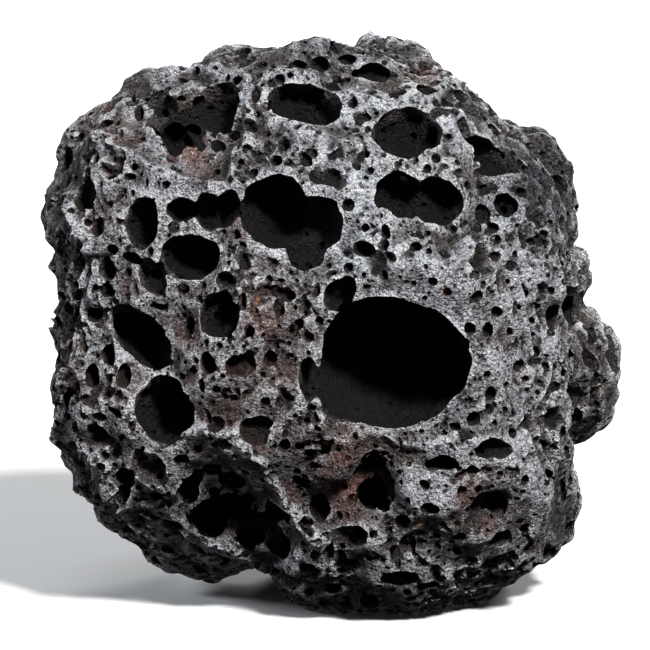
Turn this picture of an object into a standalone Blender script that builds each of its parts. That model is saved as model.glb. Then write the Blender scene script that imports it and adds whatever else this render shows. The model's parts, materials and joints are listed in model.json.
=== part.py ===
"""A hand-sized vesicular lava rock, standing on a worn flat base. Metres, +Z up, front towards -Y."""
import math
import random

import bmesh
import bpy
from mathutils import Matrix, Vector, noise
from mathutils.bvhtree import BVHTree

MM = 0.001
EYE_DISTANCE = 1000.0      # mm, where the front face's drawing is seen from
LEAN = math.radians(10.0)  # the stone leans back from its drawing plane
BASE_LEVEL = -40.3         # mm, the worn flat base, below the drawing's centre
FRONT_HALF = 33.0          # mm, thickness of the front half
BACK_HALF = 32.0           # mm, thickness of the back half
BOXINESS = 2.7             # 2 is an ellipsoid, larger is squarer
OUTLINE_BAND = 11.0        # mm, how far from the drawing plane the outline's small bumps reach
CENTRE = (1.3, 0.2)        # mm, middle of the outline
VOXEL = 0.0009
BODY_FACES = 3200
FINAL_FACES = 9800
SEED = 7

# The outline in the drawing plane: x to the right and z up, mm.
OUTLINE = [
    (-42.0, 17.3), (-41.4, 21.8), (-40.7, 26.3), (-39.5, 29.3), (-36.3, 32.3), (-32.7, 34.5),
    (-30.8, 37.2), (-26.6, 39.0), (-23.7, 38.3), (-21.3, 37.8), (-19.8, 38.7), (-18.3, 38.9),
    (-17.0, 40.7), (-14.3, 41.3), (-10.2, 41.3), (-6.5, 41.6), (-5.3, 43.1), (-3.8, 43.1),
    (-1.1, 42.9), (2.0, 41.4), (4.5, 41.6), (7.5, 43.7), (8.7, 44.1), (10.1, 43.7),
    (13.5, 42.6), (15.5, 41.9), (17.0, 40.2), (18.8, 36.9), (22.1, 33.9), (24.8, 32.1),
    (28.7, 30.2), (31.5, 29.7), (33.0, 29.4), (34.5, 27.9), (36.0, 25.1), (36.5, 23.7),
    (38.0, 21.0), (37.8, 19.4), (36.6, 17.6), (36.9, 14.6), (36.5, 11.0), (36.0, 7.0),
    (35.6, 3.0), (35.6, -2.0), (36.0, -8.0), (36.6, -14.0), (37.2, -20.1), (38.3, -22.5),
    (38.7, -24.8), (38.0, -27.8), (36.8, -30.8), (35.3, -34.5), (33.0, -36.8), (30.3, -37.2),
    (27.9, -38.6), (26.9, -41.0), (24.4, -44.6), (17.3, -45.6), (11.3, -45.4), (5.0, -44.8),
    (1.6, -43.6), (-0.6, -42.4), (-3.8, -42.4), (-5.3, -41.0), (-7.4, -37.1), (-8.7, -36.3),
    (-12.0, -36.5), (-13.5, -37.2), (-16.8, -38.1), (-19.5, -37.8), (-22.5, -36.8),
    (-25.1, -35.3), (-27.8, -33.2), (-30.0, -32.6), (-32.3, -30.8), (-34.7, -27.8),
    (-34.4, -26.3), (-34.8, -25.2), (-36.5, -23.6), (-39.0, -20.7), (-41.3, -16.5),
    (-40.7, -14.3), (-39.8, -9.0), (-39.5, -7.1), (-40.4, -2.0), (-39.0, 0.8), (-39.2, 2.6),
    (-40.4, 3.8), (-39.9, 6.8), (-40.2, 11.3), (-41.3, 14.3),
]

# Lobes fused to the block: middle x, z and depth towards the viewer, then half sizes, mm.
LOBES = [
    (35.6, -6.2, -13.0, 9.2, 12.0, 18.0),
    (34.9, 7.2, -9.0, 6.8, 6.3, 14.0),
    (31.8, 20.2, -2.0, 5.9, 7.6, 15.0),
    (9.8, 38.4, -7.0, 7.4, 5.2, 11.0),
    (-22.0, 9.0, -21.0, 16.0, 20.0, 13.5),
    (13.0, -17.0, -22.0, 17.0, 16.0, 12.5),
    (9.0, 20.0, -22.0, 19.0, 15.0, 12.0),
    (-17.0, -20.0, -17.0, 16.0, 14.0, 14.0),
]

# Broad hollows and swells of the front: middle x and z, half sizes, turn in degrees, height, mm.
SWELLS = [
    (17.0, 6.8, 22.0, 25.0, 0, 2.5),
    (-19.2, 28.5, 7.0, 9.0, 0, -5.5),
    (-20.0, 21.0, 9.0, 2.6, -50, 1.8),
    (-13.2, -27.2, 8.5, 7.0, 0, -6.5),
    (-6.8, -24.8, 9.0, 1.9, -52, 1.6),
    (6.8, -21.8, 5.5, 6.0, 0, -3.0),
    (-31.0, -4.0, 1.8, 14.0, 8, 1.2),
    (17.3, -20.6, 4.0, 1.4, 0, -1.5),
    (14.2, -24.0, 4.0, 4.0, 0, 1.3),
    (32.0, -23.0, 6.0, 9.0, 0, 1.0),
    (-26.0, -6.5, 7.0, 8.5, 0, -1.5),
    (0.8, 36.0, 14.0, 2.2, 0, -2.0),
    (26.0, 29.0, 4.0, 5.0, 0, -1.5),
]

# Vesicles of the front: x and z of the mouth, half width, half height, turn in degrees,
# and depth as a share of the mean half size, mm.
FRONT_VESICLES = [
    (10.7, -5.6, 11.2, 9.9, 0, 1.15), (-7.1, 17.0, 5.4, 5.4, 0, 1.2), (-1.1, 15.4, 4.1, 4.1, 0, 1.2),
    (-2.6, 11.3, 3.2, 3.2, 0, 1.2), (-2.9, 32.3, 5.5, 3.9, -20, 1.2), (12.5, 27.8, 5.1, 4.1, 0, 1.1),
    (11.0, 18.8, 3.9, 3.9, 0, 0.8), (16.8, 18.3, 3.6, 3.6, 0, 1.3), (25.1, 25.1, 4.3, 2.9, -15, 1.3),
    (-20.0, 10.1, 4.6, 3.4, 0, 1.2), (-26.9, -2.0, 6.6, 3.3, -40, 1.1), (-23.7, -12.8, 4.6, 5.1, 0, 1.1),
    (-25.7, 7.4, 2.9, 2.0, -60, 1.2), (-17.6, 17.0, 1.7, 2.6, 10, 1.3), (-14.6, 17.5, 1.7, 2.9, -20, 1.3),
    (-21.2, 17.3, 2.2, 1.6, 0, 1.2), (-26.9, 15.3, 2.7, 3.7, 0, 0.8), (-15.8, 1.2, 2.9, 3.6, 0, 1.2),
    (-2.3, -8.1, 1.6, 3.3, 0, 1.2), (2.4, 4.8, 3.0, 2.0, 45, 1.3), (-22.4, 27.6, 1.9, 2.4, 0, 1.3),
    (-15.5, 32.5, 3.4, 4.0, 0, 0.7), (-32.3, 33.1, 2.2, 2.0, 0, 1.1), (-35.3, 19.4, 2.0, 2.1, 0, 1.1),
    (-32.3, 8.4, 1.6, 1.8, 0, 0.9), (-12.6, -5.8, 2.2, 2.0, 0, 0.8), (-34.2, -16.7, 1.8, 2.0, 0, 1.1),
    (-26.0, -21.3, 3.0, 3.3, 0, 0.6), (-20.7, -24.0, 1.4, 3.0, 0, 1.2), (-17.3, -29.0, 2.1, 3.0, 0, 1.1),
    (-22.1, -30.1, 2.4, 2.2, 0, 0.9), (-13.4, -21.5, 2.2, 2.1, 0, 1.2), (-11.9, -26.7, 3.6, 2.7, 0, 1.1),
    (-11.1, -31.5, 1.8, 2.0, 0, 1.1), (-6.3, -27.8, 2.5, 2.2, 0, 1.1), (-6.2, -33.1, 2.5, 2.0, 0, 1.1),
    (6.8, -20.0, 4.2, 3.0, 0, 0.7), (1.8, -23.5, 1.7, 2.0, 0, 1.1), (7.0, -25.8, 2.4, 3.3, 0, 0.9),
    (-0.7, -27.2, 1.5, 2.4, 0, 1.2), (4.0, -31.8, 3.4, 1.8, 0, 0.9), (26.3, -18.5, 2.9, 1.3, 0, 0.9),
    (25.8, -31.9, 2.3, 1.5, 0, 1.2), (11.3, -38.0, 2.8, 1.4, 0, 1.2), (-10.5, -15.8, 2.5, 2.2, 0, 0.7),
    (27.0, 17.7, 1.8, 2.1, 0, 1.2), (23.6, 16.7, 1.3, 1.5, 0, 1.2), (21.0, 28.8, 2.2, 2.2, 0, 0.7),
    (39.6, -5.4, 1.6, 2.0, 20, 1.1), (-31.5, -27.0, 1.4, 3.6, -35, 1.0), (17.6, -20.6, 2.6, 1.2, 0, 1.2),
    (-36.0, -2.2, 0.9, 2.6, 0, 1.3), (-38.4, 24.6, 1.3, 1.9, 0, 1.1), (34.2, 1.2, 1.3, 2.4, 0, 1.4),
    (37.5, -14.2, 1.2, 2.2, 0, 1.1), (15.0, 34.9, 1.9, 1.3, 0, 1.1), (6.9, 37.6, 3.0, 1.6, 0, 0.9),
]

# Vesicles of the hidden sides: how many, and their half sizes, mm.
HIDDEN_VESICLES = 72
LARGE_EVERY = 6
HIDDEN_LARGE_SIZE = (3.4, 7.2)
HIDDEN_SMALL_SIZE = (1.3, 2.7)


def clear_scene():
    for obj in list(bpy.data.objects):
        bpy.data.objects.remove(obj, do_unlink=True)


def new_collection(name, hidden=False):
    collection = bpy.data.collections.new(name)
    collection.hide_render = hidden
    bpy.context.scene.collection.children.link(collection)
    return collection


def smoothstep(value):
    value = min(1.0, max(0.0, value))
    return value * value * (3 - 2 * value)


def polar_outline():
    pairs = []
    for x, z in OUTLINE:
        dx, dz = x - CENTRE[0], z - CENTRE[1]
        pairs.append((math.atan2(dz, dx), math.hypot(dx, dz)))
    return sorted(pairs)


def outline_radius(pairs, angle):
    angle = (angle + math.pi) % (2 * math.pi) - math.pi
    before, after = pairs[-1], pairs[0]
    for pair in pairs:
        if pair[0] > angle:
            after = pair
            break
        before = pair
    span = (after[0] - before[0]) % (2 * math.pi)
    share = ((angle - before[0]) % (2 * math.pi)) / span if span else 0.0
    return before[1] + (after[1] - before[1]) * share


def soft_radius(pairs, angle):
    steps = [outline_radius(pairs, angle + math.radians(turn)) for turn in range(-20, 21, 5)]
    return sum(steps) / len(steps)


def swell_height(x, z):
    height = 0.0
    for cx, cz, rx, rz, turn, peak in SWELLS:
        a = math.radians(turn)
        dx, dz = x - cx, z - cz
        along = (dx * math.cos(a) + dz * math.sin(a)) / rx
        across = (-dx * math.sin(a) + dz * math.cos(a)) / rz
        height += peak * math.exp(-(along * along + across * across))
    return height


def lumps(point, size, offset):
    return noise.fractal(Vector(point) / size + Vector(offset), 1.0, 2.0, 3)


def block_point(pairs, direction):
    """Maps a direction to the block's surface. x right, y away from the viewer, z up, mm."""
    side = math.hypot(direction.x, direction.z)
    angle = math.atan2(direction.z, direction.x)
    depth = -direction.y
    half = FRONT_HALF if depth > 0 else BACK_HALF
    grow = (side ** BOXINESS + abs(depth) ** BOXINESS) ** (-1 / BOXINESS)
    crisp = outline_radius(pairs, angle)
    soft = min(soft_radius(pairs, angle), crisp + 0.8)
    edge = 1 - smoothstep(half * abs(depth) * grow / OUTLINE_BAND)
    radius = soft * (1 - edge) + crisp * edge
    x = CENTRE[0] + radius * side * grow * math.cos(angle)
    z = CENTRE[1] + radius * side * grow * math.sin(angle)
    toward = half * depth * grow
    inner = smoothstep((abs(depth) - 0.12) / 0.5)
    point = Vector((x, -toward, z))
    outward = Vector((direction.x, direction.y, direction.z))
    point += outward * inner * (1.9 * lumps(point, 17.0, (3.1, 0.7, 5.2)))
    point += outward * (0.3 + 0.7 * inner) * 0.55 * lumps(point, 6.0, (9.4, 2.2, 1.3))
    if depth > 0:
        point.y -= smoothstep(depth / 0.4) * swell_height(x, z)
    return point


def stone_mesh():
    pairs = polar_outline()
    bm = bmesh.new()
    bmesh.ops.create_icosphere(bm, subdivisions=6, radius=1.0)
    for vert in bm.verts:
        vert.co = block_point(pairs, vert.co.normalized()) * MM
    for x, z, toward, rx, rz, ry in LOBES:
        made = bmesh.ops.create_icosphere(bm, subdivisions=5, radius=1.0)["verts"]
        for vert in made:
            way = vert.co.copy()
            bump = 1 + 0.10 * noise.fractal(way * 2.1 + Vector((x, toward, z)), 1.0, 2.0, 3)
            vert.co = Vector((x + way.x * rx * bump, -toward + way.y * ry * bump, z + way.z * rz * bump)) * MM
    mesh = bpy.data.meshes.new("lava_rock")
    bm.to_mesh(mesh)
    bm.free()
    return mesh


def apply_modifier(obj, kind, **settings):
    modifier = obj.modifiers.new(kind.title(), kind)
    for name, value in settings.items():
        setattr(modifier, name, value)
    bpy.ops.object.select_all(action="DESELECT")
    obj.select_set(True)
    bpy.context.view_layer.objects.active = obj
    bpy.ops.object.modifier_apply(modifier=modifier.name)


def make_stone(collection):
    stone = bpy.data.objects.new("lava_rock", stone_mesh())
    collection.objects.link(stone)
    apply_modifier(stone, "REMESH", mode="VOXEL", voxel_size=VOXEL)
    apply_modifier(stone, "SMOOTH", factor=0.5, iterations=3)
    apply_modifier(stone, "TRIANGULATE")
    share = BODY_FACES / len(stone.data.polygons)
    apply_modifier(stone, "DECIMATE", ratio=share, use_collapse_triangulate=True)
    return stone


def surface_tree(stone):
    bm = bmesh.new()
    bm.from_mesh(stone.data)
    tree = BVHTree.FromBMesh(bm)
    bm.free()
    return tree


def cutter_mesh(name, large):
    bm = bmesh.new()
    if large:
        bmesh.ops.create_icosphere(bm, subdivisions=3, radius=1.0)
    else:
        bmesh.ops.create_uvsphere(bm, u_segments=8, v_segments=5, radius=1.0)
    for vert in bm.verts:
        vert.co *= 1 + 0.08 * noise.noise(vert.co * 1.6 + Vector((len(name), 0.3, hash_of(name))))
    mesh = bpy.data.meshes.new(name)
    bm.to_mesh(mesh)
    bm.free()
    return mesh


def hash_of(name):
    return sum(ord(letter) * (place + 1) for place, letter in enumerate(name)) * 0.137


def add_cutter(collection, name, matrix, sizes):
    large = sum(sizes) / 3 > 3.4
    cutter = bpy.data.objects.new(name, cutter_mesh(name, large))
    cutter.matrix_world = matrix @ Matrix.Diagonal((*[size * MM for size in sizes], 1.0))
    cutter.display_type = "WIRE"
    cutter.hide_render = True
    collection.objects.link(cutter)


def front_cutters(collection, tree):
    """Ellipsoids set a little below the surface, seen from the eye point as the listed mouths."""
    eye = Vector((0.0, -EYE_DISTANCE * MM, 0.0))
    for number, (x, z, half_wide, half_high, turn, share) in enumerate(FRONT_VESICLES):
        way = (Vector((x * MM, 0.0, z * MM)) - eye).normalized()
        spot = tree.ray_cast(eye, way)[0]
        half_deep = share * (half_wide + half_high) / 2
        spot += way * 0.3 * half_deep * MM
        turned = Matrix.Translation(spot) @ Matrix.Rotation(-math.radians(turn), 4, "Y")
        sizes = (half_wide * 1.05, half_deep, half_high * 1.05)
        add_cutter(collection, "front_vesicle_%02d" % number, turned, sizes)


def hidden_cutters(collection, tree):
    """Vesicles spread evenly over the sides and the back, from a seeded spiral of directions."""
    dice = random.Random(SEED)
    spiral = math.pi * (3 - math.sqrt(5))
    placed = 0
    count = int(HIDDEN_VESICLES * 1.9)
    for step in range(count):
        height = 1 - 2 * (step + 0.5) / count
        ring = math.sqrt(1 - height * height)
        turn = spiral * step + dice.uniform(-0.15, 0.15)
        way = Vector((ring * math.cos(turn), ring * math.sin(turn), height))
        large = placed % LARGE_EVERY == 2
        low, high = HIDDEN_LARGE_SIZE if large else HIDDEN_SMALL_SIZE
        sizes = [dice.uniform(low, high), dice.uniform(low, high), dice.uniform(low, high)]
        spin = dice.uniform(0, math.pi)
        if way.y < -0.05 or way.z < -0.62 or placed >= HIDDEN_VESICLES:
            continue
        start = Vector((CENTRE[0] * MM, 0.0, CENTRE[1] * MM))
        spot, normal = tree.ray_cast(start + way * 0.2, -way)[:2]
        facing = normal.to_track_quat("Z", "Y").to_matrix().to_4x4()
        spot -= normal * 0.3 * sizes[2] * MM
        matrix = Matrix.Translation(spot) @ facing @ Matrix.Rotation(spin, 4, "Z")
        add_cutter(collection, "hidden_vesicle_%02d" % placed, matrix, sizes)
        placed += 1


def stand_upright(stone, cutters):
    lean = Matrix.Rotation(-LEAN, 4, "X")
    stone.data.transform(lean)
    for cutter in cutters.objects:
        cutter.matrix_world = lean @ cutter.matrix_world


def add_base_cutter(collection):
    bm = bmesh.new()
    bmesh.ops.create_cube(bm, size=1.0)
    mesh = bpy.data.meshes.new("base_cut")
    bm.to_mesh(mesh)
    bm.free()
    cutter = bpy.data.objects.new("base_cut", mesh)
    cutter.scale = (0.2, 0.2, 0.04)
    cutter.location = (0.0, 0.0, BASE_LEVEL * MM - 0.02)
    cutter.display_type = "WIRE"
    cutter.hide_render = True
    collection.objects.link(cutter)


def keep_largest_island(stone):
    bm = bmesh.new()
    bm.from_mesh(stone.data)
    left = set(bm.verts)
    islands = []
    while left:
        island, edge = set(), [left.pop()]
        while edge:
            vert = edge.pop()
            island.add(vert)
            for link in vert.link_edges:
                other = link.other_vert(vert)
                if other in left:
                    left.remove(other)
                    edge.append(other)
        islands.append(island)
    islands.sort(key=len, reverse=True)
    for island in islands[1:]:
        bmesh.ops.delete(bm, geom=list(island), context="VERTS")
    bmesh.ops.remove_doubles(bm, verts=bm.verts, dist=0.00005)
    bmesh.ops.dissolve_degenerate(bm, edges=bm.edges, dist=0.00001)
    bmesh.ops.triangulate(bm, faces=bm.faces)
    bm.to_mesh(stone.data)
    bm.free()
    print("islands", [len(island) for island in islands][:6], "triangles", len(stone.data.polygons))


def flatten_base(stone):
    """Puts every point that lies on the worn base exactly in its plane."""
    for vert in stone.data.vertices:
        if vert.co.z < (BASE_LEVEL + 0.05) * MM:
            vert.co.z = BASE_LEVEL * MM


def settle_on_floor(stone):
    """Moves the stone so that the middle of its box stands over the origin and its base is at z = 0."""
    xs = [vert.co.x for vert in stone.data.vertices]
    ys = [vert.co.y for vert in stone.data.vertices]
    lowest = min(vert.co.z for vert in stone.data.vertices)
    shift = Vector((-(min(xs) + max(xs)) / 2, -(min(ys) + max(ys)) / 2, -lowest))
    stone.data.transform(Matrix.Translation(shift))
    print("shift mm", [round(value / MM, 3) for value in shift])


def stone_material():
    material = bpy.data.materials.new("basalt")
    material.use_nodes = True
    shader = material.node_tree.nodes["Principled BSDF"]
    shader.inputs["Base Color"].default_value = (0.085, 0.085, 0.09, 1.0)
    shader.inputs["Roughness"].default_value = 0.62
    shader.inputs["Metallic"].default_value = 0.0
    return material


def build():
    clear_scene()
    visible = new_collection("lava_rock")
    cutters = new_collection("cutters", hidden=True)
    stone = make_stone(visible)
    tree = surface_tree(stone)
    front_cutters(cutters, tree)
    hidden_cutters(cutters, tree)
    stand_upright(stone, cutters)
    add_base_cutter(cutters)
    apply_modifier(stone, "BOOLEAN", operation="DIFFERENCE", solver="EXACT", operand_type="COLLECTION",
                   collection=cutters)
    keep_largest_island(stone)
    share = FINAL_FACES / len(stone.data.polygons)
    apply_modifier(stone, "DECIMATE", ratio=share, use_collapse_triangulate=True)
    flatten_base(stone)
    keep_largest_island(stone)
    settle_on_floor(stone)
    stone.data.materials.clear()
    stone.data.materials.append(stone_material())


build()
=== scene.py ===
# A hand-sized vesicular lava rock on a pale floor
import json
import math
import random

import bpy
import numpy as np
from mathutils import Matrix, Vector, noise
from mathutils.bvhtree import BVHTree

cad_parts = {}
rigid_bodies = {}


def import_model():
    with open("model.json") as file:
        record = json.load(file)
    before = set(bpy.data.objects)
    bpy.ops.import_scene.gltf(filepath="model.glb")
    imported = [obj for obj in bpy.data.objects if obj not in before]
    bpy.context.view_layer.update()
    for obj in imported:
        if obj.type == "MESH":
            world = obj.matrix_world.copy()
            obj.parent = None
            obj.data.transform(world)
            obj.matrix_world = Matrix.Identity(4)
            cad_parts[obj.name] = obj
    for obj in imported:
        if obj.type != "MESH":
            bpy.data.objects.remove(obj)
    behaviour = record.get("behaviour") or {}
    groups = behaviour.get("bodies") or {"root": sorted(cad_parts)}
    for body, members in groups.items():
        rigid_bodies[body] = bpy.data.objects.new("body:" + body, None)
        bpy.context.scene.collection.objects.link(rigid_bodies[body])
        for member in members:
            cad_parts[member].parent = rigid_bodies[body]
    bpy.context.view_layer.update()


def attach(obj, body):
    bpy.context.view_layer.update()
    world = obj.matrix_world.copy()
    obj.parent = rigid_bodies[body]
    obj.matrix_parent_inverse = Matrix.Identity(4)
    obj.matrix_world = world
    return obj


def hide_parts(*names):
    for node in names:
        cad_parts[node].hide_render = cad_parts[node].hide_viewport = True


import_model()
mm = 0.001

# The block is drawn in an upright plane, x right and z up in mm, then leans back and stands on its base
drawing = {
    "eyeDistance": 1000.0,
    "lean": math.radians(10.0),
    "shift": (-1.716, -0.938, 40.3),
    "pixel": 0.15,
}

block = {
    "frontHalf": 33.0,
    "backHalf": 32.0,
    "boxiness": 2.7,
    "outlineBand": 11.0,
    "centre": (1.3, 0.2),
    "baseLevel": -40.3,
    "voxel": 0.40,
    "outline": [
        (-42.0, 17.3), (-41.4, 21.8), (-40.7, 26.3), (-39.5, 29.3), (-36.3, 32.3), (-32.7, 34.5),
        (-30.8, 37.2), (-26.6, 39.0), (-23.7, 38.3), (-21.3, 37.8), (-19.8, 38.7), (-18.3, 38.9),
        (-17.0, 40.7), (-14.3, 41.3), (-10.2, 41.3), (-6.5, 41.6), (-5.3, 43.1), (-3.8, 43.1),
        (-1.1, 42.9), (2.0, 41.4), (4.5, 41.6), (7.5, 43.7), (8.7, 44.1), (10.1, 43.7),
        (13.5, 42.6), (15.5, 41.9), (17.0, 40.2), (18.8, 36.9), (22.1, 33.9), (24.8, 32.1),
        (28.7, 30.2), (31.5, 29.7), (33.0, 29.4), (34.5, 27.9), (36.0, 25.1), (36.5, 23.7),
        (38.0, 21.0), (37.8, 19.4), (36.6, 17.6), (36.9, 14.6), (36.5, 11.0), (36.0, 7.0),
        (35.6, 3.0), (35.6, -2.0), (36.0, -8.0), (36.6, -14.0), (37.2, -20.1), (38.3, -22.5),
        (38.7, -24.8), (38.0, -27.8), (36.8, -30.8), (35.3, -34.5), (33.0, -36.8), (30.3, -37.2),
        (27.9, -38.6), (26.9, -41.0), (24.4, -44.6), (17.3, -45.6), (11.3, -45.4), (5.0, -44.8),
        (1.6, -43.6), (-0.6, -42.4), (-3.8, -42.4), (-5.3, -41.0), (-7.4, -37.1), (-8.7, -36.3),
        (-12.0, -36.5), (-13.5, -37.2), (-16.8, -38.1), (-19.5, -37.8), (-22.5, -36.8),
        (-25.1, -35.3), (-27.8, -33.2), (-30.0, -32.6), (-32.3, -30.8), (-34.7, -27.8),
        (-34.4, -26.3), (-34.8, -25.2), (-36.5, -23.6), (-39.0, -20.7), (-41.3, -16.5),
        (-40.7, -14.3), (-39.8, -9.0), (-39.5, -7.1), (-40.4, -2.0), (-39.0, 0.8), (-39.2, 2.6),
        (-40.4, 3.8), (-39.9, 6.8), (-40.2, 11.3), (-41.3, 14.3),
    ],
    # middle x, z and depth towards the viewer, then half sizes
    "lobes": [
        (35.6, -6.2, -13.0, 9.2, 12.0, 18.0), (34.9, 7.2, -9.0, 6.8, 6.3, 14.0),
        (31.8, 20.2, -2.0, 5.9, 7.6, 15.0), (9.8, 38.4, -7.0, 7.4, 5.2, 11.0),
        (-22.0, 9.0, -21.0, 16.0, 20.0, 13.5), (13.0, -17.0, -22.0, 17.0, 16.0, 12.5),
        (9.0, 20.0, -22.0, 19.0, 15.0, 12.0), (-17.0, -20.0, -17.0, 16.0, 14.0, 14.0),
    ],
    # middle x and z, half sizes, turn in degrees, height
    "swells": [
        (17.0, 6.8, 22.0, 25.0, 0, 2.5), (-19.2, 28.5, 7.0, 9.0, 0, -5.5),
        (-20.0, 21.0, 9.0, 2.6, -50, 1.8), (-13.2, -27.2, 8.5, 7.0, 0, -6.5),
        (-6.8, -24.8, 9.0, 1.9, -52, 1.6), (6.8, -21.8, 5.5, 6.0, 0, -3.0),
        (-31.0, -4.0, 1.8, 14.0, 8, 1.2), (17.3, -20.6, 4.0, 1.4, 0, -1.5),
        (14.2, -24.0, 4.0, 4.0, 0, 1.3), (32.0, -23.0, 6.0, 9.0, 0, 1.0),
        (-26.0, -6.5, 7.0, 8.5, 0, -1.5), (0.8, 36.0, 14.0, 2.2, 0, -2.0),
        (26.0, 29.0, 4.0, 5.0, 0, -1.5),
    ],
}

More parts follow.
